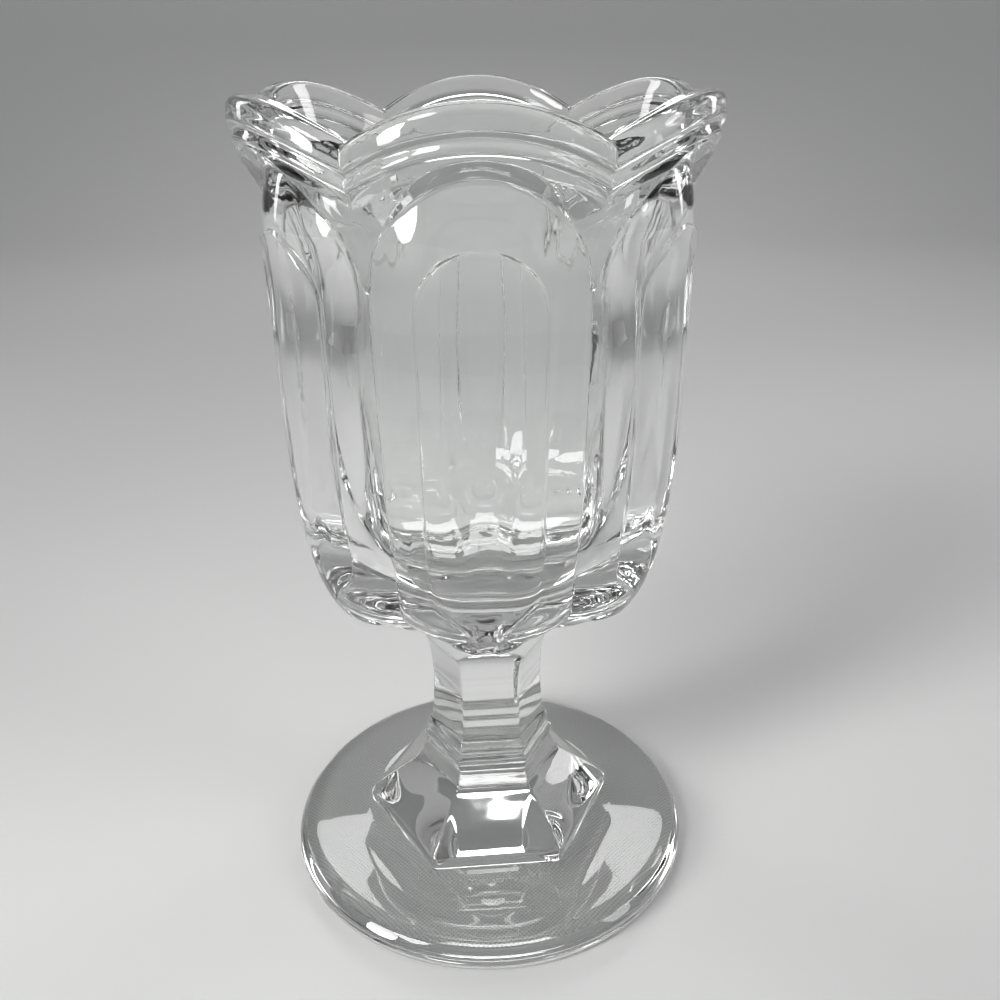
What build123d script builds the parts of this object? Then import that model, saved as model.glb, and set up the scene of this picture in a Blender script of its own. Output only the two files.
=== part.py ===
"""Celery vase of pressed glass: petalled bowl, joint wafer, hexagonal stem and round foot.

Millimetres, Z up. The foot rests on Z = 0 and the shared axis is X = Y = 0.
One petal of the bowl faces -Y. The four glass pieces are pressed apart and joined hot.
"""
import math
import os

from build123d import *

os.makedirs("parts", exist_ok=True)

# Driving dimensions
FOOT_RADIUS = 57.5
FOOT_EDGE = 3.2
FOOT_REST_RADIUS = 55.5
FOOT_HEIGHT = 9.8
STEM_HEIGHT = 64.2
STEM_BASE_RADIUS = 35.4
STEM_WAIST_RADIUS = 15.5
STEM_TOP_RADIUS = 18.4
STEM_TURN = 3.5
STEM_SIDES = 6
WAFER_HEIGHT = 2.0
WAFER_RADIUS = 18.6
BOWL_HEIGHT = 133.9
PETAL_COUNT = 6
PETAL_AXIS = 20.2
PETAL_RADIUS = 30.4
PILLAR_AXIS = 30.6
PILLAR_RADIUS = 20.9
PILLAR_HALF_WIDTH = 13.9
PILLAR_BULGE = 49.7
CORE_RADIUS = 44.0
CAVITY_RADIUS = 40.5
LIP_RADIUS = 35.6
LIP_DEPTH = 9.5
LIP_STEP = 2.2
LIP_GROOVE = 1.3
SCALLOP_RADIUS = 46.4
NICHE_RADIUS = 23.5
NICHE_SLOPE = 1.2

# Heights that follow
STEM_BASE = FOOT_HEIGHT
WAFER_BASE = STEM_BASE + STEM_HEIGHT
BOWL_BASE = WAFER_BASE + WAFER_HEIGHT
TOTAL_HEIGHT = BOWL_BASE + BOWL_HEIGHT
SCALLOP_CENTRE = TOTAL_HEIGHT - SCALLOP_RADIUS
NICHE_CENTRE = BOWL_BASE + 0.721 * BOWL_HEIGHT
PILLAR_TOP = BOWL_BASE + 0.802 * BOWL_HEIGHT
NICHE_CROWN_RADIUS = 1.114 * CORE_RADIUS
HALF_SECTOR = 180.0 / PETAL_COUNT

# Curves as (percent of the radius named, percent of the height named)
FOOT_TOP = [(94.5, 65.0), (62.6, 100.0)]
STEM_FLARE = [(100.0, 6.2), (98.0, 8.0), (87.0, 13.9), (75.5, 18.5), (64.5, 22.6), (56.5, 26.6)]
STEM_RINGS = [(122.0, 30.6), (118.0, 33.6), (121.5, 36.5), (117.5, 39.1), (109.5, 40.4), (113.5, 42.6)]
STEM_SHAFT = [(106.0, 47.5), (102.0, 53.0), (100.0, 62.0), (100.3, 75.0), (103.0, 81.5), (108.0, 87.5)]
WAFER_SIDE = [(99.0, 0.0), (101.8, 100.0)]
PETAL_FOOT = [(34.0, 3.6), (66.0, 9.0), (83.5, 16.5)]
PETAL_SIDE = [(91.5, 34.0), (96.5, 71.0)]
PETAL_DOME = [(100.0, 79.5), (97.4, 85.0), (91.0, 89.6), (80.0, 92.3)]
PILLAR_TIP = [(34.0, 5.6), (64.0, 11.3), (81.5, 19.5)]
PILLAR_SIDE = [(92.5, 33.0), (100.0, 62.7), (104.0, 83.0)]
PILLAR_FRONT = [(99.8, 28.0), (100.0, 61.2), (101.0, 71.0), (102.8, 81.0)]
PILLAR_EDGE = [(96.5, 0.0), (96.5, 33.0), (99.3, 62.7)]
CORE_SIDE = [(43.2, 0.0), (62.0, 6.2), (80.0, 17.0)]
CORE_UPPER = [(91.0, 33.0), (100.0, 71.7)]
BELL_SIDE = [(97.7, 67.2), (104.0, 72.4), (105.9, 76.2), (107.3, 79.2), (109.3, 82.9), (111.4, 84.3)]
BELL_FLARE = [(113.2, 85.6), (115.7, 87.2), (118.6, 88.9), (121.4, 90.4), (124.5, 92.2)]
CAVITY_FLOOR = [(53.0, 14.4), (86.0, 23.5), (97.0, 44.0)]
CAVITY_SIDE = [(100.0, 76.2)]
CAVITY_MOUTH = [(109.0, 85.2), (123.5, 101.5)]
SECTION_ANGLES = [0.0, 10.0, 19.0, 25.5, 30.0]


def points(curve, radius, base, height):
    """Turn a curve in percent into (radius, height) points in millimetres."""
    return [(radius * r / 100.0, base + height * h / 100.0) for r, h in curve]


def turned_outline(curve, radius, base, height):
    """Closed outline of a turned body, from its side curve in percent."""
    side = points(curve, radius, base, height)
    return [(0, base)] + side + [(0, side[-1][1])]


def read_curve(curve, z):
    """Radius of a list of points at a height, by straight steps."""
    for (r0, z0), (r1, z1) in zip(curve, curve[1:]):
        if z <= z1:
            share = max(0.0, (z - z0) / (z1 - z0))
            return r0 + (r1 - r0) * share
    return curve[-1][0]


def around(angle):
    """Plane through the shared axis, with its X pointing out at an angle from the front."""
    a = math.radians(angle - 90.0)
    return Plane(origin=(0, 0, 0), x_dir=(math.cos(a), math.sin(a), 0), z_dir=(math.sin(a), -math.cos(a), 0))


def body_about(offset, outline):
    """Solid turned about an upright axis that stands off the shared axis, at the front."""
    plane = Plane(origin=(0, -offset, 0), x_dir=(1, 0, 0), z_dir=(0, -1, 0))
    corners = list(outline)
    if outline[-1][0] > 0:
        corners.append((0, outline[-1][1]))
    if outline[0][0] > 0:
        corners.append((0, outline[0][1]))
    with BuildPart(mode=Mode.PRIVATE) as body:
        with BuildSketch(plane):
            with BuildLine():
                Polyline(*corners, close=True)
            make_face()
        revolve(axis=Axis((0, -offset, 0), (0, 0, 1)))
    return body.part


# Bowl: the lip, the bell below it and the niches round the petals
bell = points(BELL_SIDE + BELL_FLARE, CORE_RADIUS, BOWL_BASE, BOWL_HEIGHT)
cavity = points(CAVITY_FLOOR + CAVITY_SIDE + CAVITY_MOUTH, CAVITY_RADIUS, BOWL_BASE, BOWL_HEIGHT)


def lip_outline(angle):
    """Radius of the scalloped lip seen from above."""
    a = math.radians(angle)
    return PETAL_AXIS * math.cos(a) + math.sqrt(LIP_RADIUS ** 2 - (PETAL_AXIS * math.sin(a)) ** 2)


def bell_radius(angle, z):
    """Radius of the bell, kept inside the lower edge of the lip."""
    return min(read_curve(bell, z), lip_outline(angle) - LIP_STEP)


def niche_radius(angle, z, radius):
    """Radius of the sloping niche wall, for a point at a radius."""
    across = abs(radius * math.sin(math.radians(angle)))
    rise = max(0.0, z - NICHE_CENTRE)
    slope = NICHE_SLOPE * (1.0 + 1.3 * (angle / HALF_SECTOR) ** 4)
    return NICHE_CROWN_RADIUS + slope * (math.hypot(across, rise) - NICHE_RADIUS)


def arch_height(angle, top):
    """Height of the arched edge where niche wall and bell meet."""
    z = top - 0.5
    while z > bell[1][1]:
        radius = bell_radius(angle, z)
        if niche_radius(angle, z, radius) <= radius:
            return z
        z -= 0.05
    return bell[1][1]


def rim_section(angle):
    """Outline of bell and lip in the upright plane at an angle from the petal."""
    outer = lip_outline(angle)
    across = outer * math.sin(math.radians(angle))
    top = SCALLOP_CENTRE + math.sqrt(SCALLOP_RADIUS ** 2 - across ** 2)
    low = top - LIP_DEPTH
    arch = arch_height(abs(angle), low)
    inner = read_curve(cavity, top)
    hidden = CORE_RADIUS - 1.0
    drop = (bell_radius(angle, arch) - hidden) / NICHE_SLOPE
    outline = [(hidden - 5.0, arch - drop - 1.5), (hidden, arch - drop)]
    for share in (0.0, 0.4, 0.75):
        z = arch + (low - arch) * share
        outline.append((bell_radius(angle, z), z))
    outline.append((outer - LIP_STEP, low))
    outline.append((outer - 0.8, low + 0.8))
    outline.append((outer - LIP_GROOVE, low + 3.1))
    outline.append((outer, low + 4.6))
    outline.append((outer, top - 1.5))
    outline.append((outer - 1.9, top))
    outline.append((inner + 1.2, top - 0.2))
    outline.append((inner - 1.0, top - 2.2))
    outline.append((hidden - 5.0, top - 4.0))
    return outline


def rim_sector():
    """One sixth of the rim, lofted from upright sections across a petal."""
    angles = [-a for a in reversed(SECTION_ANGLES[1:])] + SECTION_ANGLES
    wires = []
    for angle in angles:
        plane = around(angle)
        corners = [plane.from_local_coords((r, z, 0)) for r, z in rim_section(angle)]
        wires.append(Wire.make_polygon(corners, close=True))
    return Solid.make_loft(wires, ruled=True)


def round_headed_pillar():
    """Proud pillar of the front petal: turned flanks, a flattened front and a round head."""
    flanks = points(PILLAR_TIP + PILLAR_SIDE, PILLAR_RADIUS, BOWL_BASE, BOWL_HEIGHT)
    front = points(PILLAR_FRONT, PILLAR_BULGE, BOWL_BASE, BOWL_HEIGHT)
    edge = points(PILLAR_EDGE, PILLAR_HALF_WIDTH, BOWL_BASE, BOWL_HEIGHT)
    spring = PILLAR_TOP - PILLAR_HALF_WIDTH
    reach = PILLAR_AXIS + 2.0 * PILLAR_RADIUS
    with BuildPart(mode=Mode.PRIVATE) as body:
        add(body_about(PILLAR_AXIS, flanks))
        with BuildSketch(Plane.XZ, mode=Mode.PRIVATE) as outline:
            with BuildLine():
                Polyline((PILLAR_HALF_WIDTH, spring), *reversed(edge))
                Polyline((-PILLAR_HALF_WIDTH, spring), *[(-x, z) for x, z in reversed(edge)])
                Line((edge[0][0], BOWL_BASE), (-edge[0][0], BOWL_BASE))
                ThreePointArc((PILLAR_HALF_WIDTH, spring), (0, PILLAR_TOP), (-PILLAR_HALF_WIDTH, spring))
            make_face()
        extrude(outline.sketch, amount=reach, mode=Mode.INTERSECT)
        with BuildSketch(Plane.YZ, mode=Mode.PRIVATE) as side_view:
            with BuildLine():
                Polyline(
                    (0, BOWL_BASE),
                    (-reach, BOWL_BASE),
                    (-reach, front[0][1]),
                    *[(-y, z) for y, z in front],
                    (-front[-1][0], TOTAL_HEIGHT),
                    (0, TOTAL_HEIGHT),
                    close=True,
                )
            make_face()
        extrude(side_view.sketch, amount=2.0 * PILLAR_HALF_WIDTH, both=True, mode=Mode.INTERSECT)
    return body.part


petal = body_about(
    PETAL_AXIS,
    points(PETAL_FOOT + PETAL_SIDE + PETAL_DOME, PETAL_RADIUS, BOWL_BASE, BOWL_HEIGHT),
)
pillar = round_headed_pillar()
core = body_about(0.0, points(CORE_SIDE + CORE_UPPER, CORE_RADIUS, BOWL_BASE, BOWL_HEIGHT))
hollow = body_about(0.0, cavity)
rim = rim_sector()

with BuildPart() as bowl:
    add(core)
    for turn in range(PETAL_COUNT):
        step = 360.0 / PETAL_COUNT * turn
        add([petal.rotate(Axis.Z, step), pillar.rotate(Axis.Z, step), rim.rotate(Axis.Z, step)])
    add(hollow, mode=Mode.SUBTRACT)
bowl.part.label = "bowl"
export_step(bowl.part, "parts/bowl.step")


# Wafer: the short disc of glass that joins bowl and stem
with BuildPart() as wafer:
    with BuildSketch(Plane.XZ):
        with BuildLine():
            Polyline(*turned_outline(WAFER_SIDE, WAFER_RADIUS, WAFER_BASE, WAFER_HEIGHT), close=True)
        make_face()
    revolve(axis=Axis.Z)
wafer.part.label = "wafer"
export_step(wafer.part, "parts/wafer.step")


# Stem: six flat sides that flare to the foot, two rings above the flare, a round top
def stem_sides():
    """Half width of the six-sided stem across its flats, with height."""
    flats = math.cos(math.pi / STEM_SIDES)
    flare = points(STEM_FLARE, STEM_BASE_RADIUS, STEM_BASE, STEM_HEIGHT)
    shaft = points(STEM_RINGS + STEM_SHAFT, STEM_WAIST_RADIUS, STEM_BASE, STEM_HEIGHT)
    side = [(STEM_BASE_RADIUS, STEM_BASE)] + flare + shaft
    side.append((1.3 * STEM_TOP_RADIUS, WAFER_BASE))
    return [(radius * flats, z) for radius, z in side]


def two_sided(side):
    """Outline of a body with the same curve on its left and on its right."""
    return side + [(-radius, z) for radius, z in reversed(side)]


with BuildPart() as stem:
    sides = stem_sides()
    for number in range(STEM_SIDES // 2):
        turned = Plane.XZ.rotated((0, 0, 360.0 / STEM_SIDES * (number + 0.5) + STEM_TURN))
        with BuildSketch(turned, mode=Mode.PRIVATE) as slab:
            with BuildLine():
                Polyline(*two_sided(sides), close=True)
            make_face()
        way = Mode.ADD if number == 0 else Mode.INTERSECT
        extrude(slab.sketch, amount=1.5 * STEM_BASE_RADIUS, both=True, mode=way)
    with BuildSketch(Plane.XZ, mode=Mode.PRIVATE) as round_top:
        with BuildLine():
            Polyline(
                (0, STEM_BASE),
                (1.5 * STEM_BASE_RADIUS, STEM_BASE),
                (1.5 * STEM_BASE_RADIUS, STEM_BASE + 0.8 * STEM_HEIGHT),
                (STEM_TOP_RADIUS - 0.5, STEM_BASE + 0.9 * STEM_HEIGHT),
                (STEM_TOP_RADIUS, WAFER_BASE),
                (0, WAFER_BASE),
                close=True,
            )
        make_face()
    revolve(round_top.sketch, axis=Axis.Z, mode=Mode.INTERSECT)
stem.part.label = "stem"
export_step(stem.part, "parts/stem.step")

# Foot: a round disc with a flat rest, a bevelled edge and a flat seat for the stem
with BuildPart() as foot:
    with BuildSketch(Plane.XZ):
        with BuildLine():
            rise = points(FOOT_TOP, FOOT_RADIUS, 0, FOOT_HEIGHT)
            Polyline(
                (0, FOOT_HEIGHT),
                (0, 0),
                (FOOT_REST_RADIUS, 0),
                (FOOT_RADIUS, 0.5 * FOOT_EDGE),
                (FOOT_RADIUS, FOOT_EDGE),
                *rise,
                close=True,
            )
        make_face()
    revolve(axis=Axis.Z)
foot.part.label = "foot"
export_step(foot.part, "parts/foot.step")
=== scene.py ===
"""Clear pressed-glass celery vase: petalled bowl, joint wafer, hexagonal stem and round foot.

Every surface of the vase is a numpy grid of radius and height over angle and row. Sizes are in
millimetres, angles in degrees from the front (-Y) towards the right (+X). Meshes are in metres.
"""

import logging
import math
from dataclasses import dataclass, field
from enum import Enum

import bpy
import numpy as np
from mathutils import Matrix, Vector


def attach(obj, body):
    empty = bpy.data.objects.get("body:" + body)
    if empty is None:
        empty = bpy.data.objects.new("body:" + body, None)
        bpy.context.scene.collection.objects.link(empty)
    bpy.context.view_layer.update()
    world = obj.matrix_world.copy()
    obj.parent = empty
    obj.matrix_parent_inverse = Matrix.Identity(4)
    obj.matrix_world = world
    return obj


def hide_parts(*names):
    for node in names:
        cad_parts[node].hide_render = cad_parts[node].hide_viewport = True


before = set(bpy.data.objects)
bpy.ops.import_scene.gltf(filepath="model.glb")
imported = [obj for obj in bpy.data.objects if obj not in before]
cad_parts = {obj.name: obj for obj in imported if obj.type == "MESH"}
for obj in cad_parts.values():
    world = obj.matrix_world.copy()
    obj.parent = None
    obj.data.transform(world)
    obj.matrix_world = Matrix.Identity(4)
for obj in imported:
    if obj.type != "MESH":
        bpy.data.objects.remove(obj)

LOG = logging.getLogger("celery_vase")
MILLIMETRE = 0.001
BODY = "root"
HUB_SHARE = 0.15
HUB_ROWS = 6
CURVE_STEPS = 900
Knots = tuple[tuple[float, float], ...]


class Side(Enum):
    """Which finish a strip of faces wears: open glass, or a hot joint with no seam."""

    GLASS = 0
    JOINT = 1


class Lamp(Enum):
    """The studio's soft lamps."""

    KEY = "key_lamp"
    FRONT = "front_lamp"
    FILL = "fill_lamp"
    BACK = "back_lamp"
    LEFT = "left_lamp"
    RIGHT = "right_lamp"


# Curves and grids


def spline_through(step: np.ndarray, value: np.ndarray, at: np.ndarray) -> np.ndarray:
    """Natural cubic spline through values, one dimension.

    Args:
        step: Rising positions of the knots.
        value: Values at the knots.
        at: Positions to read, within the knots.

    Returns:
        The spline's values at those positions.
    """
    gap = np.diff(step)
    slope = np.diff(value) / gap
    size = len(step)
    system = np.eye(size)
    right = np.zeros(size)
    inner = np.arange(1, size - 1)
    system[inner, inner - 1] = gap[:-1]
    system[inner, inner] = 2.0 * (gap[:-1] + gap[1:])
    system[inner, inner + 1] = gap[1:]
    right[inner] = 6.0 * np.diff(slope)
    bend = np.linalg.solve(system, right)
    k = np.clip(np.searchsorted(step, at, side="right") - 1, 0, size - 2)
    a = (step[k + 1] - at) / gap[k]
    b = 1.0 - a
    curve = (a ** 3 - a) * bend[k] + (b ** 3 - b) * bend[k + 1]
    return a * value[k] + b * value[k + 1] + curve * gap[k] ** 2 / 6.0


@dataclass(frozen=True)
class SideCurve:
    """A smooth side curve through (radius, height) knots, by a spline on the chord length."""

    knots: Knots

    def walk(self, count: int) -> tuple[np.ndarray, np.ndarray]:
        """Radius and height at evenly spaced steps along the curve.

        Args:
            count: How many steps.

        Returns:
            Arrays of radius and of height.
        """
        points = np.array(self.knots)
        chord = np.concatenate([[0.0], np.cumsum(np.hypot(*np.diff(points, axis=0).T))])
        at = np.linspace(0.0, chord[-1], count)
        return spline_through(chord, points[:, 0], at), spline_through(chord, points[:, 1], at)

    def radius(self, height: np.ndarray) -> np.ndarray:
        """Radius at heights; nothing below the first knot or above the last."""
        r, z = self.walk(CURVE_STEPS)
        return np.interp(height, np.maximum.accumulate(z), r, left=0.0, right=0.0)

    def held(self, height: np.ndarray) -> np.ndarray:
        """Radius at heights, with the end radii carried on past both ends."""
        r, z = self.walk(CURVE_STEPS)
        return np.interp(height, np.maximum.accumulate(z), r)


def in_percent(knots: Knots, radius: float, base: float, height: float) -> SideCurve:
    """Side curve from knots given in percent of a radius and of a height above a base."""
    return SideCurve(tuple((radius * r / 100.0, base + height * h / 100.0) for r, h in knots))


def folded(angle: np.ndarray, count: int) -> np.ndarray:
    """Angle from the middle of the nearest of a number of equal sectors, never negative."""
    sector = 360.0 / count
    return np.abs((angle + sector / 2.0) % sector - sector / 2.0)


def hub_shares() -> np.ndarray:
    """Shares of its outline at which the rows of a flat joint lie, from the middle out."""
    return np.linspace(HUB_SHARE, 1.0, HUB_ROWS)[:-1]


def joint_strips(count: int, low: int, high: int = 0) -> np.ndarray:
    """Which strips of a closed grid are hot joints: the lowest and the highest ones.

    Args:
        count: Number of rows, without the poles.
        low: How many strips, pole included, lie in the lower joint.
        high: How many lie in the upper joint.

    Returns:
        One flag for each strip, poles included.
    """
    strip = np.arange(count + 1)
    return (strip < low) | (strip > count - high)


def mirrored_columns(half: np.ndarray, count: int, turn: float = 0.0) -> np.ndarray:
    """Column angles round the axis, from the steps of half a sector.

    Args:
        half: Rising angles from the sector's middle, 0, to its edge.
        count: How many equal sectors there are.
        turn: Angle of the first sector's middle.

    Returns:
        Rising angles over one full round, with none twice.
    """
    one = np.concatenate([-half[:0:-1], half[:-1]])
    sector = 360.0 / count
    return (one[None, :] + sector * np.arange(count)[:, None]).ravel() + turn


def between(low: np.ndarray, high: np.ndarray, shares: np.ndarray) -> np.ndarray:
    """Rows of heights that run from one curve over the columns to another, by shares."""
    return low[None, :] + (high - low)[None, :] * shares[:, None]


def turned_mesh(
    name: str, angle: np.ndarray, radius: np.ndarray, height: np.ndarray, joint: np.ndarray
) -> bpy.types.Object:
    """Closed mesh of rows carried round the axis, with one vertex at each pole.

    A grid point lies at x = r sin a, y = -r cos a, z = h. Each quad joins two neighbours of one
    row to the same two of the next, the last column joins the first, and the first and last
    rows shrink to poles that close the mesh with fans.

    Args:
        name: Name of the piece.
        angle: Column angles in degrees.
        radius: Radii, rows by columns, in millimetres, without the poles.
        height: Heights of the same grid.
        joint: For each strip, poles included, whether it is a hot joint.

    Returns:
        The mesh object, at the origin.
    """
    rows, columns = radius.shape
    a = np.radians(angle)
    ring = np.stack([radius * np.sin(a), -radius * np.cos(a), height], axis=-1).reshape(-1, 3)
    poles = np.array([[0.0, 0.0, height[0].mean()], [0.0, 0.0, height[-1].mean()]])
    vertices = np.concatenate([ring, poles]) * MILLIMETRE
    low, col = np.meshgrid(np.arange(rows - 1), np.arange(columns), indexing="ij")
    after = (col + 1) % columns
    here, above = low * columns, (low + 1) * columns
    quads = np.stack([here + col, here + after, above + after, above + col], axis=-1).reshape(-1, 4)
    near = np.arange(columns)
    far = (near + 1) % columns
    first = np.stack([np.full(columns, rows * columns), far, near], axis=-1)
    top = (rows - 1) * columns
    last = np.stack([np.full(columns, rows * columns + 1), top + near, top + far], axis=-1)
    mesh = bpy.data.meshes.new(name)
    mesh.from_pydata(vertices, [], first.tolist() + quads.tolist() + last.tolist())
    strip = np.concatenate([np.zeros(columns, int), low.ravel() + 1, np.full(columns, rows)])
    mesh.polygons.foreach_set("material_index", joint[strip].astype(np.int32))
    mesh.polygons.foreach_set("use_smooth", ~joint[strip])
    mesh.update()
    piece = bpy.data.objects.new(name, mesh)
    bpy.context.scene.collection.objects.link(piece)
    return piece


# Finishes


def fire_polish_group() -> bpy.types.ShaderNodeTree:
    """Shared effect: the faint upright waves that press and fire polish leave on glass.

    Returns:
        A node group with inputs Wave Size and Depth and the output Normal.
    """
    group = bpy.data.node_groups.new("fire_polish_waves", "ShaderNodeTree")
    group.interface.new_socket("Wave Size", in_out="INPUT", socket_type="NodeSocketFloat")
    group.interface.new_socket("Depth", in_out="INPUT", socket_type="NodeSocketFloat")
    group.interface.new_socket("Normal", in_out="OUTPUT", socket_type="NodeSocketVector")
    nodes, links = group.nodes, group.links
    inside = nodes.new("NodeGroupInput")
    outside = nodes.new("NodeGroupOutput")
    place = nodes.new("ShaderNodeTexCoord")
    upright = nodes.new("ShaderNodeMapping")
    upright.inputs["Scale"].default_value = (1.0, 1.0, 0.2)
    waves = nodes.new("ShaderNodeTexNoise")
    waves.inputs["Detail"].default_value = 1.5
    waves.inputs["Roughness"].default_value = 0.4
    bump = nodes.new("ShaderNodeBump")
    bump.inputs["Distance"].default_value = 0.001
    links.new(place.outputs["Object"], upright.inputs["Vector"])
    links.new(upright.outputs["Vector"], waves.inputs["Vector"])
    links.new(inside.outputs["Wave Size"], waves.inputs["Scale"])
    links.new(inside.outputs["Depth"], bump.inputs["Strength"])
    links.new(waves.outputs["Fac"], bump.inputs["Height"])
    links.new(bump.outputs["Normal"], outside.inputs["Normal"])
    return group


@dataclass(frozen=True)
class ClearGlass:
    """Clear flint glass with a fire-polished skin, and a press-marked rest whose dots get painted shade if
    it has a pitch.
    """

    name: str
    tint: tuple[float, float, float] = (0.985, 0.992, 0.988)
    roughness: float = 0.015
    refraction: float = 1.54
    wave_scale: float = 55.0
    wave_depth: float = 0.15
    stipple_pitch: float = 0.0
    # Colour factor of the painted shade in the press-mark dots.
    dot_painted_shade: float = 0.62
    stipple_turn: float = 45.0
    stipple_jitter: float = 0.12
    dot_core: float = 0.20
    dot_edge: float = 0.42
    rest_top: float = 0.0003

    def stipple_painted_shade(self, nodes: bpy.types.Nodes, links: bpy.types.NodeLinks) -> bpy.types.NodeSocket:
        """Colour of a press-marked underside: a slanted lattice of small dots darkened with painted shade.

        The dots are the middles of the cells of a slanted, almost even grid. They show only
        below the top of the flat rest.

        Args:
            nodes: The material's nodes.
            links: The material's links.

        Returns:
            The socket of the colour.
        """
        place = nodes.new("ShaderNodeTexCoord")
        slant = nodes.new("ShaderNodeMapping")
        slant.inputs["Rotation"].default_value[2] = math.radians(self.stipple_turn)
        dots = nodes.new("ShaderNodeTexVoronoi")
        dots.voronoi_dimensions = "2D"
        dots.inputs["Scale"].default_value = 1.0 / self.stipple_pitch
        dots.inputs["Randomness"].default_value = self.stipple_jitter
        # Mask of the painted shade: full in each dot's middle, none past its edge.
        painted_dot_shade = nodes.new("ShaderNodeMapRange")
        painted_dot_shade.inputs["From Min"].default_value = self.dot_edge
        painted_dot_shade.inputs["From Max"].default_value = self.dot_core
        split = nodes.new("ShaderNodeSeparateXYZ")
        under = nodes.new("ShaderNodeMath")
        under.operation = "LESS_THAN"
        under.inputs[1].default_value = self.rest_top
        share = nodes.new("ShaderNodeMath")
        share.operation = "MULTIPLY"
        colour = nodes.new("ShaderNodeMix")
        colour.data_type = "RGBA"
        colour.inputs["A"].default_value = (*self.tint, 1.0)
        # The dots' darker colour is painted shade that stands in for how the pressed pits scatter light.
        colour.inputs["B"].default_value = (*(self.dot_painted_shade * part for part in self.tint), 1.0)
        links.new(place.outputs["Object"], slant.inputs["Vector"])
        links.new(slant.outputs["Vector"], dots.inputs["Vector"])
        links.new(dots.outputs["Distance"], painted_dot_shade.inputs["Value"])
        links.new(place.outputs["Object"], split.inputs["Vector"])
        links.new(split.outputs["Z"], under.inputs[0])
        links.new(painted_dot_shade.outputs["Result"], share.inputs[0])
        links.new(under.outputs["Value"], share.inputs[1])
        links.new(share.outputs["Value"], colour.inputs["Factor"])
        return colour.outputs["Result"]

    def material(self, waves: bpy.types.ShaderNodeTree) -> bpy.types.Material:
        """Make the material.

        Args:
            waves: The shared group of fire-polish waves.

        Returns:
            The finished material.
        """
        made = bpy.data.materials.new(self.name)
        made.use_nodes = True
        nodes, links = made.node_tree.nodes, made.node_tree.links
        shader = nodes["Principled BSDF"]
        shader.inputs["Base Color"].default_value = (*self.tint, 1.0)
        shader.inputs["Transmission Weight"].default_value = 1.0
        shader.inputs["Metallic"].default_value = 0.0
        shader.inputs["Roughness"].default_value = self.roughness
        shader.inputs["IOR"].default_value = self.refraction
        skin = nodes.new("ShaderNodeGroup")
        skin.node_tree = waves
        skin.inputs["Wave Size"].default_value = self.wave_scale
        skin.inputs["Depth"].default_value = self.wave_depth
        links.new(skin.outputs["Normal"], shader.inputs["Normal"])
        if self.stipple_pitch:
            links.new(self.stipple_painted_shade(nodes, links), shader.inputs["Base Color"])
        return made


@dataclass(frozen=True)
class FusedJoint:
    """A hot joint inside the glass, which shows no seam: rays pass straight through."""

    name: str = "fused_joint"

    def material(self) -> bpy.types.Material:
        """Make the see-through material."""
        made = bpy.data.materials.new(self.name)
        made.use_nodes = True
        shader = made.node_tree.nodes["Principled BSDF"]
        shader.inputs["Alpha"].default_value = 0.0
        return made


@dataclass(frozen=True)
class PaleFloor:
    """Plain pale paper of the studio floor and backdrop."""

    name: str = "pale_paper"
    colour: tuple[float, float, float] = (0.80, 0.80, 0.79)

    def material(self) -> bpy.types.Material:
        """Make the matt material."""
        made = bpy.data.materials.new(self.name)
        made.use_nodes = True
        shader = made.node_tree.nodes["Principled BSDF"]
        shader.inputs["Base Color"].default_value = (*self.colour, 1.0)
        shader.inputs["Roughness"].default_value = 0.9
        return made


@dataclass
class GlassFinish:
    """The two materials that a glass piece wears, in the order of Side."""

    glass: bpy.types.Material
    joint: bpy.types.Material

    def dress(self, piece: bpy.types.Object, node: str) -> None:
        """Give a piece its finish and let it stand for its node.

        Args:
            piece: The finished mesh.
            node: The CAD node that it replaces.
        """
        worn = {Side.GLASS: self.glass, Side.JOINT: self.joint}
        for side in Side:
            piece.data.materials.append(worn[side])
        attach(piece, BODY)
        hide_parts(node)
        LOG.info("%s: %d faces", piece.name, len(piece.data.polygons))


# Pieces of the vase


@dataclass
class Foot:
    """Round disc with a flat rest, a bevelled edge and a seat for the stem."""

    radius: float = 57.5
    rest_radius: float = 55.5
    edge: float = 3.2
    height: float = 9.8
    rise: Knots = (
        (96.0, 63.0), (94.4, 66.0), (88.0, 72.5), (80.0, 80.5), (71.0, 90.5), (62.6, 100.0),
    )

    def side(self) -> tuple[np.ndarray, np.ndarray]:
        """Radius and height from the rest, round the edge and up the top, as two arrays."""
        r, z = in_percent(self.rise, self.radius, 0.0, self.height).walk(40)
        edge = SideCurve((
            (self.rest_radius, 0.0),
            (self.radius - 0.4, 0.25 * self.edge),
            (self.radius, 0.6 * self.edge),
            (self.radius - 0.15, self.edge),
            (r[0], z[0]),
        ))
        er, ez = edge.walk(26)
        ez = np.maximum(ez, 0.0)
        flat = np.linspace(0.1, 1.0, 8)[:-1] * self.rest_radius
        return (
            np.minimum(np.concatenate([flat, er, r[1:]]), self.radius),
            np.concatenate([0.0 * flat, ez, z[1:]]),
        )

    def build(self, stem: "Stem", finish: GlassFinish) -> bpy.types.Object:
        """Build the foot: the side turned round the axis, then a seat cut to the stem's outline.

        Args:
            stem: The stem, whose lowest outline bounds the hot joint.
            finish: The glass finish.

        Returns:
            The dressed piece.
        """
        angle = stem.columns()
        r, z = self.side()
        outer = np.repeat(r[:, None], len(angle), axis=1)
        height = np.repeat(z[:, None], len(angle), axis=1)
        seat = stem.outline(angle, np.full_like(angle, stem.base))
        inner = seat[None, :] * np.linspace(1.0, HUB_SHARE, HUB_ROWS)[:, None]
        radius = np.concatenate([outer, inner])
        height = np.concatenate([height, np.full_like(inner, self.height)])
        joint = joint_strips(len(radius), 0, len(inner))
        piece = turned_mesh("foot_disc", angle, radius, height, joint)
        finish.dress(piece, "foot")
        return piece


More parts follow.
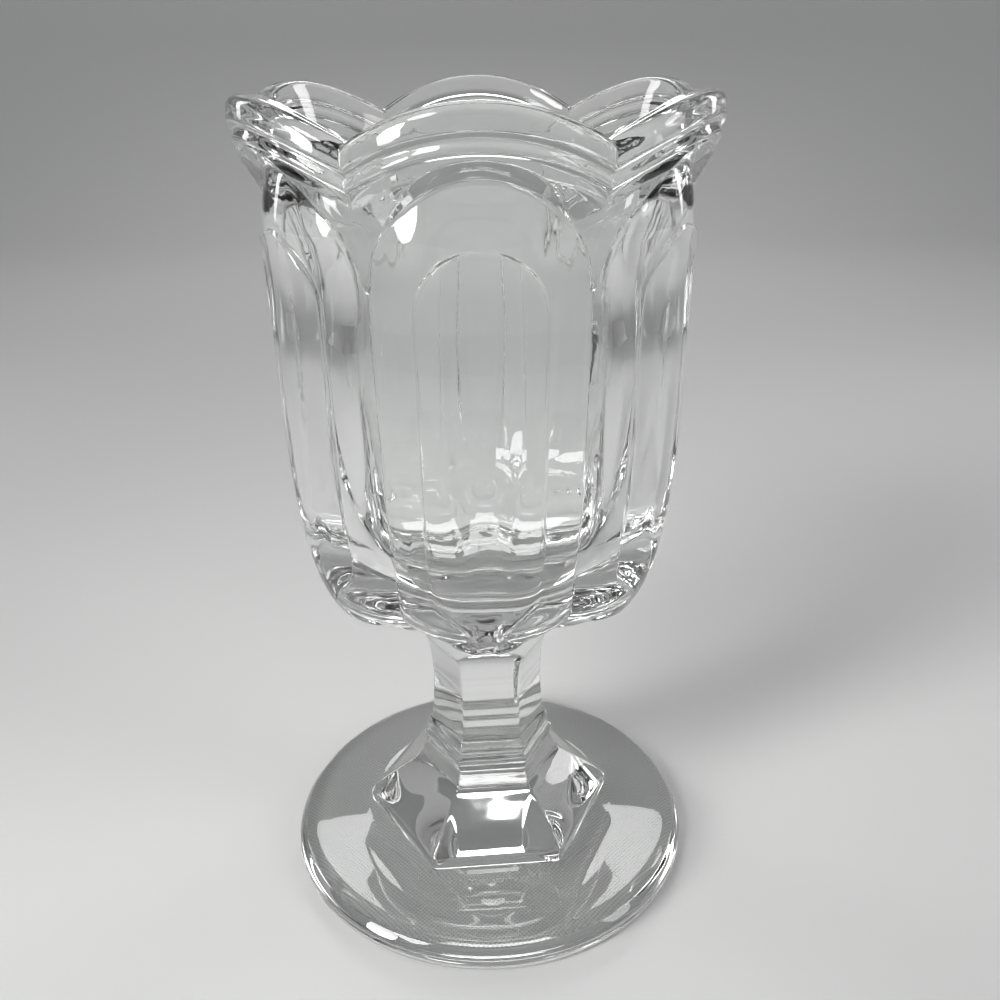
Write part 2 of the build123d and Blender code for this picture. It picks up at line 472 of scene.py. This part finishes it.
@dataclass
class Stem:
    """Six-sided waisted stem with two rings, a flare to the foot and a round top."""

    base: float = 9.8
    height: float = 64.2
    base_radius: float = 35.4
    waist_radius: float = 15.5
    top_radius: float = 18.4
    turn: float = 3.5
    sides: int = 6
    edge_power: float = 90.0
    flare: Knots = (
        (100.0, 0.0), (100.0, 6.2), (98.0, 8.0), (87.0, 13.9), (75.5, 18.5), (64.5, 22.6), (56.5, 26.6),
    )
    rings: Knots = (
        (122.0, 30.6), (118.0, 33.6), (121.5, 36.5), (117.5, 39.1), (109.5, 40.4), (113.5, 42.6),
    )
    shaft: Knots = (
        (106.0, 47.5), (102.0, 53.0), (100.0, 62.0), (100.3, 75.0), (103.0, 81.5), (108.0, 87.5),
    )

    def columns(self) -> np.ndarray:
        """Column angles: closer together at the six edges."""
        half = np.concatenate([
            np.linspace(0.0, 24.0, 13), np.linspace(24.8, 28.0, 5), np.linspace(28.4, 30.0, 6),
        ])
        return mirrored_columns(half, self.sides, self.turn)

    def corner_curve(self) -> SideCurve:
        """Side curve of the stem's edges, from the foot to the top."""
        low = in_percent(self.flare, self.base_radius, self.base, self.height)
        high = in_percent(self.rings + self.shaft, self.waist_radius, self.base, self.height)
        end = (1.3 * self.top_radius, self.base + self.height)
        return SideCurve(low.knots + high.knots + (end,))

    def outline(self, angle: np.ndarray, height: np.ndarray) -> np.ndarray:
        """Radius of the six-sided section.

        With s the half width across flats and c the cosine of the angle to each side's middle,
        the radius is s over the power mean of the c, which rounds the edges a little. Near the
        top the section can't pass a round of the top's radius.

        Args:
            angle: Angles in degrees.
            height: Heights in millimetres, of the same shape or one that fits it.

        Returns:
            Radii in millimetres.
        """
        flats = self.corner_curve().held(height) * math.cos(math.pi / self.sides)
        middles = self.turn + 360.0 / self.sides * np.arange(self.sides)
        cosines = np.cos(np.radians(angle[..., None] - middles))
        reach = (np.clip(cosines, 0.0, None) ** self.edge_power).sum(axis=-1) ** (1.0 / self.edge_power)
        six = flats / reach
        top = self.base + self.height
        knee = self.base + 0.8 * self.height
        neck = self.base + 0.9 * self.height
        widths = [1.5 * self.base_radius, self.top_radius - 0.5, self.top_radius]
        return np.minimum(six, np.interp(height, [knee, neck, top], widths))

    def build(self, finish: GlassFinish) -> bpy.types.Object:
        """Build the stem: rows of the six-sided outline from the foot to the wafer.

        Args:
            finish: The glass finish.

        Returns:
            The dressed piece.
        """
        angle = self.columns()
        shares = np.concatenate([
            np.linspace(0.0, 0.05, 5), np.linspace(0.058, 0.09, 7), np.linspace(0.1, 0.27, 26),
            np.linspace(0.276, 0.44, 50), np.linspace(0.45, 0.86, 34), np.linspace(0.866, 1.0, 30),
        ])
        z = self.base + self.height * shares
        height = np.repeat(z[:, None], len(angle), axis=1)
        wall = self.outline(np.broadcast_to(angle, height.shape), height)
        low = wall[0] * hub_shares()[:, None]
        high = wall[-1] * hub_shares()[::-1, None]
        radius = np.concatenate([low, wall, high])
        height = np.concatenate([np.full_like(low, z[0]), height, np.full_like(high, z[-1])])
        joint = joint_strips(len(radius), len(low) + 1, len(high) + 1)
        piece = turned_mesh("stem_column", angle, radius, height, joint)
        finish.dress(piece, "stem")
        return piece


@dataclass
class Wafer:
    """Short disc of glass between the stem and the bowl."""

    base: float = 74.0
    height: float = 2.0
    low_radius: float = 18.4
    high_radius: float = 19.0
    bulge: float = 0.15

    def build(self, stem: Stem, finish: GlassFinish) -> bpy.types.Object:
        """Build the wafer: a short bulged side between two flat hot joints.

        Args:
            stem: The stem, which gives the column angles.
            finish: The glass finish.

        Returns:
            The dressed piece.
        """
        angle = stem.columns()
        share = np.linspace(0.0, 1.0, 9)
        side = self.low_radius + (self.high_radius - self.low_radius) * share
        side = side + self.bulge * np.sin(math.pi * share)
        low = self.low_radius * hub_shares()
        high = self.high_radius * hub_shares()[::-1]
        r = np.concatenate([low, side, high])
        z = np.concatenate([0.0 * low, share * self.height, 0.0 * high + self.height]) + self.base
        joint = joint_strips(len(r), len(low) + 1, len(high) + 1)
        radius = np.repeat(r[:, None], len(angle), axis=1)
        height = np.repeat(z[:, None], len(angle), axis=1)
        piece = turned_mesh("joint_wafer", angle, radius, height, joint)
        finish.dress(piece, "wafer")
        return piece


@dataclass
class Bowl:
    """Petalled bowl with pillars, arched niches, a flared bell and a scalloped lip.

    Fields that end in share are shares of the bowl's height above its base, and crown_share is
    one of the core's radius. Knots are in percent of a radius and of the height, apart from
    the lip's, which are in millimetres from its outline and its lower edge.
    """

    base: float = 76.0
    height: float = 133.9
    petals: int = 6
    petal_axis: float = 20.2
    petal_radius: float = 30.4
    pillar_axis: float = 30.6
    pillar_radius: float = 20.9
    pillar_half_width: float = 13.9
    pillar_bulge: float = 49.7
    pillar_step: float = 0.8
    pillar_rounding: float = 0.15
    core_radius: float = 44.0
    cavity_radius: float = 40.5
    lip_radius: float = 35.6
    lip_depth: float = 9.5
    lip_step: float = 2.2
    scallop_radius: float = 46.4
    niche_radius: float = 23.5
    niche_slope: float = 1.2
    niche_spread: float = 1.3
    head_share: float = 0.802
    core_share: float = 0.717
    spring_share: float = 0.724
    niche_share: float = 0.721
    mouth_share: float = 0.84
    crown_share: float = 1.114
    petal_knots: Knots = (
        (0.0, 2.6), (25.7, 3.4), (45.4, 5.2), (61.2, 8.2), (78.3, 11.9), (84.9, 19.4), (88.2, 25.4),
        (90.8, 31.4), (94.7, 55.3), (95.6, 63.0), (96.2, 68.7), (97.6, 73.9), (99.3, 76.8), (100.0, 80.2),
        (99.0, 83.0), (97.0, 85.4), (94.2, 87.8), (91.0, 89.6), (82.0, 91.9),
    )
    pillar_knots: Knots = (
        (0.0, 4.5), (24.0, 5.2), (42.5, 6.6), (56.5, 9.3), (68.5, 12.9), (76.8, 16.6), (82.2, 19.9),
        (87.0, 24.5), (91.2, 29.5), (94.2, 34.0), (97.0, 40.0), (98.8, 46.0), (99.8, 56.5), (100.6, 64.0),
        (102.3, 73.0), (104.0, 83.0),
    )
    pillar_front: Knots = (
        (97.9, 20.0), (98.6, 26.0), (99.3, 30.0), (99.7, 35.0), (99.8, 44.1), (100.0, 61.2), (101.0, 71.0),
        (102.8, 81.0),
    )
    pillar_edge: Knots = ((96.5, 0.0), (96.5, 33.0), (99.3, 62.7), (100.0, 69.8))
    core_knots: Knots = (
        (43.2, 0.0), (46.6, 1.9), (54.5, 3.7), (63.6, 6.7), (72.7, 11.9), (81.8, 19.4), (90.9, 32.9),
        (96.6, 55.3), (100.0, 71.7),
    )
    bell_knots: Knots = (
        (97.7, 67.2), (104.0, 72.4), (105.9, 76.2), (107.3, 79.2), (109.3, 82.9), (111.4, 84.3),
        (113.2, 85.6), (115.7, 87.2), (118.6, 88.9), (121.4, 90.4), (124.5, 92.2),
    )
    cavity_knots: Knots = (
        (0.0, 12.9), (30.0, 13.2), (53.0, 14.7), (72.0, 18.4), (86.0, 25.0), (92.5, 32.5), (96.6, 44.0),
        (98.4, 58.0), (100.0, 76.2), (106.2, 81.4), (109.9, 86.6), (115.6, 92.6), (119.8, 96.3),
        (122.2, 98.6), (123.5, 101.5),
    )
    lip_knots: Knots = (
        (-2.2, 0.0), (-0.9, 0.5), (-0.8, 1.9), (-1.3, 3.1), (-0.2, 4.2), (0.0, 6.0), (-0.2, 7.9),
        (-1.2, 9.2), (-2.2, 9.5),
    )
    angle: np.ndarray = field(init=False)
    fold: np.ndarray = field(init=False)

    def __post_init__(self) -> None:
        """Lay out the columns: closer at the pillars' edges and in the valleys."""
        half = np.concatenate([
            np.linspace(0.0, 12.0, 17), np.linspace(12.8, 15.6, 4), np.linspace(15.9, 18.0, 9),
            np.linspace(19.0, 27.0, 7), np.linspace(27.7, 30.0, 5),
        ])
        self.angle = mirrored_columns(half, self.petals)
        self.fold = folded(self.angle, self.petals)

    def curve(self, knots: Knots, radius: float) -> SideCurve:
        """Side curve of the bowl from knots in percent."""
        return in_percent(knots, radius, self.base, self.height)

    def level(self, share: float) -> float:
        """Height of a share of the bowl above its base."""
        return self.base + share * self.height

    def lobe(self, offset: float, lobe_radius: np.ndarray) -> np.ndarray:
        """Radius, from the shared axis, of a round section that stands off it.

        It is c cos q + sqrt(a a - c c sin q sin q), with c the offset and a the lobe's radius,
        and nothing where the ray misses the lobe.

        Args:
            offset: Distance of the lobe's own axis.
            lobe_radius: The lobe's radii, rows by columns.

        Returns:
            Radii of the same shape.
        """
        q = np.radians(self.fold)
        inside = lobe_radius ** 2 - (offset * np.sin(q)) ** 2
        reach = offset * np.cos(q) + np.sqrt(np.clip(inside, 0.0, None))
        return np.where(inside > 0.0, reach, 0.0)

    def pillar_spring(self) -> float:
        """Height at which the pillars' round heads begin."""
        return self.level(self.head_share) - self.pillar_half_width

    def pillar_surface(self, height: np.ndarray) -> np.ndarray:
        """Radius of the pillars without their edges: turned flanks with a flattened front.

        The front stands at r = f / cos q, with f its distance from the shared axis. Flank and
        front meet in the smooth minimum -k log(exp(-flank / k) + exp(-front / k)).

        Args:
            height: Heights, rows by columns.

        Returns:
            Radii of the same shape.
        """
        turned = self.curve(self.pillar_knots, self.pillar_radius)
        flank = self.lobe(self.pillar_axis, turned.radius(height))
        front = self.curve(self.pillar_front, self.pillar_bulge).held(height)
        front = front / np.cos(np.radians(self.fold))
        apart = np.abs(flank - front) / self.pillar_rounding
        return np.minimum(flank, front) - self.pillar_rounding * np.log1p(np.exp(-apart))

    def pillar_share(self, radius: np.ndarray, height: np.ndarray) -> np.ndarray:
        """How far a place lies on the raised pillar: 0 beyond its outline, 1 past the step.

        The outline is a pair of sides under a round head. The share is the smooth step 3 t t
        - 2 t t t of the distance inside it over the step's width.

        Args:
            radius: Radii, rows by columns.
            height: Heights of the same grid.

        Returns:
            Shares from 0 to 1.
        """
        across = radius * np.sin(np.radians(self.fold))
        percent = (height - self.base) / self.height * 100.0
        share = np.array(self.pillar_edge)
        side = self.pillar_half_width * np.interp(percent, share[:, 1], share[:, 0]) / 100.0
        spring = self.pillar_spring()
        head = self.pillar_half_width - np.hypot(across, height - spring)
        inside = np.where(height > spring, head, side - across)
        t = np.clip(inside / self.pillar_step, 0.0, 1.0)
        return t * t * (3.0 - 2.0 * t)

    def body_radius(self, height: np.ndarray) -> np.ndarray:
        """Outer radius of core, petals and the raised pillars together."""
        core = self.curve(self.core_knots, self.core_radius).held(height)
        core = np.where(height > self.level(self.core_share), 0.0, core)
        turned = self.curve(self.petal_knots, self.petal_radius)
        petal = self.lobe(self.petal_axis, turned.radius(height))
        ground = np.maximum(core, petal)
        rise = np.clip(self.pillar_surface(height) - ground, 0.0, None)
        return ground + rise * self.pillar_share(ground, height)

    def lip_outline(self) -> np.ndarray:
        """Outer radius of the scalloped lip over the columns."""
        return self.lobe(self.petal_axis, np.full_like(self.fold, self.lip_radius))

    def lip_top(self) -> np.ndarray:
        """Height of the lip over the columns: an arc across each petal."""
        across = self.lip_outline() * np.sin(np.radians(self.fold))
        centre = self.base + self.height - self.scallop_radius
        return centre + np.sqrt(self.scallop_radius ** 2 - across ** 2)

    def bell_radius(self, height: np.ndarray) -> np.ndarray:
        """Radius of the bell, kept inside the lower edge of the lip."""
        bell = self.curve(self.bell_knots, self.core_radius).held(height)
        return np.minimum(bell, self.lip_outline() - self.lip_step)

    def arch(self, low: np.ndarray) -> np.ndarray:
        """Height of the arched edge over the columns.

        The niche wall stands at R = R0 + s (d - n), with d the distance, in the upright plane
        across the petal, from the niche's centre, n the niche's radius and s its slope. The
        edge is the highest place where that wall no longer lies outside the bell.

        Args:
            low: Height of the lip's lower edge over the columns.

        Returns:
            Heights over the columns.
        """
        springing = self.level(self.spring_share)
        centre = self.level(self.niche_share)
        height = between(np.full_like(low, springing), low - 0.5, np.linspace(0.0, 1.0, 700))
        bell = self.bell_radius(height)
        across = bell * np.sin(np.radians(self.fold))
        slope = self.niche_slope * (1.0 + self.niche_spread * (self.fold * self.petals / 180.0) ** 4)
        away = np.hypot(across, np.clip(height - centre, 0.0, None))
        wall = self.crown_share * self.core_radius + slope * (away - self.niche_radius)
        return np.where(wall <= bell, height, springing).max(axis=0)

    def niche_foot(self, arch: np.ndarray) -> np.ndarray:
        """Height over the columns where the niche wall comes out of petal and valley."""
        height = between(arch - 9.0, arch, np.linspace(0.0, 1.0, 500))
        wall = self.niche_wall(height, arch)
        body = self.body_radius(height)
        return np.where(body >= wall, height, height[0]).max(axis=0)

    def niche_wall(self, height: np.ndarray, arch: np.ndarray) -> np.ndarray:
        """Radius of the sloping niche wall below the arched edge."""
        edge = self.bell_radius(arch[None, :])
        return edge - self.niche_slope * (arch[None, :] - height)

    def outside(self) -> tuple[np.ndarray, np.ndarray]:
        """Rows from the base up to the lip's lower edge.

        Level rows run up the body, then rows stretch between the level and the foot of the
        niche, the arched edge and the lip's lower edge, so that each edge lies on a row.

        Returns:
            Radii and heights, rows by columns.
        """
        low = self.lip_top() - self.lip_depth
        arch = self.arch(low)
        foot = self.niche_foot(arch)
        level = self.base + self.height * np.concatenate([
            np.linspace(0.0, 0.025, 6), np.linspace(0.027, 0.06, 17), np.linspace(0.063, 0.15, 20),
            np.linspace(0.16, 0.62, 24),
        ])
        body = np.repeat(level[:, None], len(self.angle), axis=1)
        spring = self.pillar_spring()
        across = 48.5 * np.sin(np.radians(self.fold))
        head = spring + np.sqrt(np.clip(self.pillar_half_width ** 2 - across ** 2, 0.25, None))
        below = between(body[-1], head - 1.3, np.linspace(0.0, 1.0, 15)[1:])
        step = between(head - 1.3, head + 0.3, np.linspace(0.0, 1.0, 9)[1:])
        above = between(head + 0.3, foot, np.linspace(0.0, 1.0, 17)[1:])
        body = np.concatenate([body, below, step, above])
        wall = between(foot, arch, np.linspace(0.0, 1.0, 6)[1:])
        bell = between(arch, low, np.linspace(0.0, 1.0, 10)[1:-1])
        radii = [self.body_radius(body), self.niche_wall(wall, arch), self.bell_radius(bell)]
        return np.concatenate(radii), np.concatenate([body, wall, bell])

    def lip(self) -> tuple[np.ndarray, np.ndarray]:
        """Rows over the double bead and the top of the lip, as offsets from its outline."""
        offset, rise = SideCurve(self.lip_knots).walk(23)
        top = self.lip_top()
        radius = self.lip_outline()[None, :] + offset[:, None]
        height = (top - self.lip_depth)[None, :] + rise[:, None]
        inner = self.curve(self.cavity_knots, self.cavity_radius).held(top)
        share = np.linspace(0.0, 1.0, 5)[1:, None]
        flat = radius[-1] + (inner + 1.0 - radius[-1]) * share
        level = np.repeat((top - 0.1)[None, :], 4, axis=0)
        turn = np.radians(np.linspace(0.0, 90.0, 6))[1:, None]
        round_in = inner + 1.0 - np.sin(turn)
        drop = top - 0.1 - (1.0 - np.cos(turn))
        return np.concatenate([radius, flat, round_in]), np.concatenate([height, level, drop])

    def inside(self) -> tuple[np.ndarray, np.ndarray]:
        """Rows down the smooth cavity, from the lip to its bottom."""
        cavity = self.curve(self.cavity_knots, self.cavity_radius)
        start = self.lip_top() - 1.1
        level = self.level(self.mouth_share)
        mouth = between(start, np.full_like(start, level), np.linspace(0.0, 1.0, 12)[1:])
        r, z = cavity.walk(400)
        length = np.concatenate([[0.0], np.cumsum(np.hypot(np.diff(r), np.diff(z)))])
        reach = np.interp(level, z, length)
        at = reach * np.linspace(1.0, 0.0, 30)[1:-1]
        down_r = np.repeat(np.interp(at, length, r)[:, None], len(self.angle), axis=1)
        down_z = np.repeat(np.interp(at, length, z)[:, None], len(self.angle), axis=1)
        return np.concatenate([cavity.held(mouth), down_r]), np.concatenate([mouth, down_z])

    def build(self, finish: GlassFinish) -> bpy.types.Object:
        """Build the bowl: base, outside, lip and cavity as one closed grid.

        Args:
            finish: The glass finish.

        Returns:
            The dressed piece.
        """
        out_r, out_z = self.outside()
        lip_r, lip_z = self.lip()
        in_r, in_z = self.inside()
        base = out_r[0] * hub_shares()[:, None]
        radius = np.concatenate([base, out_r, lip_r, in_r])
        height = np.concatenate([np.full_like(base, self.base), out_z, lip_z, in_z])
        joint = joint_strips(len(radius), len(base) + 1)
        piece = turned_mesh("bowl_shell", self.angle, radius, height, joint)
        finish.dress(piece, "bowl")
        return piece


# Studio


@dataclass
class Studio:
    """Pale floor and backdrop, soft lamps and the camera of the photograph."""

    half_width: float = 1.3
    front: float = -1.2
    bend: float = 0.9
    bend_radius: float = 0.5
    wall: float = 1.6
    air_gap: float = 0.0002
    camera_place: tuple[float, float, float] = (-0.00047, -0.24324, 0.2211)
    camera_turn: float = -1.1
    camera_pitch: float = 24.96
    camera_roll: float = -0.614
    lens: float = 36.49
    aim: tuple[float, float, float] = (0.0, 0.0, 0.12)
    room_strength: float = 0.16
    pale_strength: float = 0.55
    dark_strength: float = 0.02
    light_strength: float = 0.5
    dark_from: float = -0.4
    light_to: float = 0.8

    def floor(self) -> bpy.types.Object:
        """Floor that bends up into a backdrop: a profile carried straight across."""
        quarter = np.radians(np.linspace(0.0, 90.0, 25))
        y = np.concatenate([[self.front, 0.0], self.bend + self.bend_radius * np.sin(quarter)])
        z = np.concatenate([[0.0, 0.0], self.bend_radius * (1.0 - np.cos(quarter))]) - self.air_gap
        y = np.append(y, y[-1])
        z = np.append(z, self.wall)
        x = np.array([-self.half_width, self.half_width])
        grid = np.stack([
            np.broadcast_to(x, (len(y), 2)), np.repeat(y[:, None], 2, 1), np.repeat(z[:, None], 2, 1),
        ], axis=-1)
        row = np.arange(len(y) - 1) * 2
        faces = np.stack([row, row + 1, row + 3, row + 2], axis=-1)
        mesh = bpy.data.meshes.new("floor")
        mesh.from_pydata(grid.reshape(-1, 3), [], faces.tolist())
        mesh.polygons.foreach_set("use_smooth", np.ones(len(mesh.polygons), bool))
        mesh.update()
        floor = bpy.data.objects.new("floor", mesh)
        bpy.context.scene.collection.objects.link(floor)
        floor.data.materials.append(PaleFloor().material())
        return floor

    def soft_lamp(
        self,
        lamp: Lamp,
        place: tuple[float, float, float],
        size: tuple[float, float],
        watts: float,
        beam: float = 180.0,
    ) -> bpy.types.Object:
        """Hang a soft round or oval lamp that looks at the bowl.

        Args:
            lamp: Which lamp.
            place: Its position in metres.
            size: Its width and height in metres.
            watts: Its power.
            beam: Full angle of its beam in degrees.

        Returns:
            The lamp's object.
        """
        light = bpy.data.lights.new(lamp.value, "AREA")
        light.shape = "ELLIPSE"
        light.size, light.size_y = size
        light.energy = watts
        light.spread = math.radians(beam)
        hung = bpy.data.objects.new(lamp.value, light)
        hung.location = place
        way = Vector(self.aim) - Vector(place)
        hung.rotation_euler = way.to_track_quat("-Z", "Y").to_euler()
        bpy.context.scene.collection.objects.link(hung)
        return hung

    def surroundings(self) -> None:
        """World: plain light for the floor, pale to the camera, dark round the sides to glass."""
        world = bpy.data.worlds.new("studio")
        bpy.context.scene.world = world
        world.use_nodes = True
        nodes, links = world.node_tree.nodes, world.node_tree.links
        room = nodes["Background"]
        room.inputs["Strength"].default_value = self.room_strength
        room.inputs["Color"].default_value = (0.95, 0.97, 1.0, 1.0)
        seen = nodes.new("ShaderNodeBackground")
        place = nodes.new("ShaderNodeTexCoord")
        split = nodes.new("ShaderNodeSeparateXYZ")
        shade = nodes.new("ShaderNodeMapRange")
        shade.inputs["From Min"].default_value = self.dark_from
        shade.inputs["From Max"].default_value = self.light_to
        shade.inputs["To Min"].default_value = self.dark_strength
        shade.inputs["To Max"].default_value = self.light_strength
        links.new(place.outputs["Generated"], split.inputs["Vector"])
        links.new(split.outputs["Y"], shade.inputs["Value"])
        links.new(shade.outputs["Result"], seen.inputs["Strength"])
        pale = nodes.new("ShaderNodeBackground")
        pale.inputs["Strength"].default_value = self.pale_strength
        path = nodes.new("ShaderNodeLightPath")
        through = nodes.new("ShaderNodeMath")
        through.operation = "MAXIMUM"
        links.new(path.outputs["Is Glossy Ray"], through.inputs[0])
        links.new(path.outputs["Is Transmission Ray"], through.inputs[1])
        glass = nodes.new("ShaderNodeMixShader")
        links.new(through.outputs["Value"], glass.inputs["Fac"])
        links.new(room.outputs["Background"], glass.inputs[1])
        links.new(seen.outputs["Background"], glass.inputs[2])
        final = nodes.new("ShaderNodeMixShader")
        links.new(path.outputs["Is Camera Ray"], final.inputs["Fac"])
        links.new(glass.outputs["Shader"], final.inputs[1])
        links.new(pale.outputs["Background"], final.inputs[2])
        links.new(final.outputs["Shader"], nodes["World Output"].inputs["Surface"])

    def camera(self) -> bpy.types.Object:
        """Set the camera where the photograph was taken from."""
        data = bpy.data.cameras.new("camera")
        data.lens = self.lens
        data.sensor_width = 36.0
        data.sensor_fit = "HORIZONTAL"
        data.clip_start = 0.01
        camera = bpy.data.objects.new("camera", data)
        heading = Matrix.Rotation(math.radians(self.camera_turn), 4, "Z")
        tilt = Matrix.Rotation(math.radians(90.0 - self.camera_pitch), 4, "X")
        roll = Matrix.Rotation(math.radians(self.camera_roll), 4, "Z")
        camera.matrix_world = Matrix.Translation(self.camera_place) @ heading @ tilt @ roll
        bpy.context.scene.collection.objects.link(camera)
        bpy.context.scene.camera = camera
        return camera

    def build(self) -> None:
        """Build the whole studio and let light through many layers of glass."""
        self.floor()
        self.soft_lamp(Lamp.KEY, (-0.75, -0.75, 0.85), (0.45, 0.45), 6.5)
        self.soft_lamp(Lamp.FRONT, (-0.56, -0.36, 0.27), (0.20, 0.34), 0.45, beam=60.0)
        self.soft_lamp(Lamp.FILL, (0.95, -0.35, 0.55), (0.30, 0.6), 2.0)
        self.soft_lamp(Lamp.BACK, (0.0, 1.0, 0.72), (0.5, 0.26), 2.0)
        self.soft_lamp(Lamp.LEFT, (-0.85, 0.45, 0.42), (0.14, 0.7), 0.24, beam=70.0)
        self.soft_lamp(Lamp.RIGHT, (0.85, 0.45, 0.42), (0.14, 0.7), 0.24, beam=70.0)
        self.surroundings()
        self.camera()
        scene = bpy.context.scene
        scene.view_settings.view_transform = "Standard"
        scene.cycles.max_bounces = 24
        scene.cycles.transmission_bounces = 20
        scene.cycles.glossy_bounces = 8
        scene.cycles.transparent_max_bounces = 24


def main() -> None:
    """Build the vase and the studio."""
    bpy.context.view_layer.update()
    waves = fire_polish_group()
    joint = FusedJoint().material()
    bowl_glass = ClearGlass("bowl_glass", wave_depth=0.24, wave_scale=130.0)
    bowl_finish = GlassFinish(bowl_glass.material(waves), joint)
    stem_glass = ClearGlass("stem_glass", wave_depth=0.16, wave_scale=75.0)
    stem_finish = GlassFinish(stem_glass.material(waves), joint)
    foot_glass = ClearGlass("foot_glass", wave_depth=0.06, wave_scale=40.0, stipple_pitch=0.00085)
    foot_finish = GlassFinish(foot_glass.material(waves), joint)
    stem = Stem()
    Foot().build(stem, foot_finish)
    stem.build(stem_finish)
    Wafer().build(stem, stem_finish)
    Bowl().build(bowl_finish)
    Studio().build()


if __name__ == "__main__":
    logging.basicConfig(level=logging.INFO)
    main()
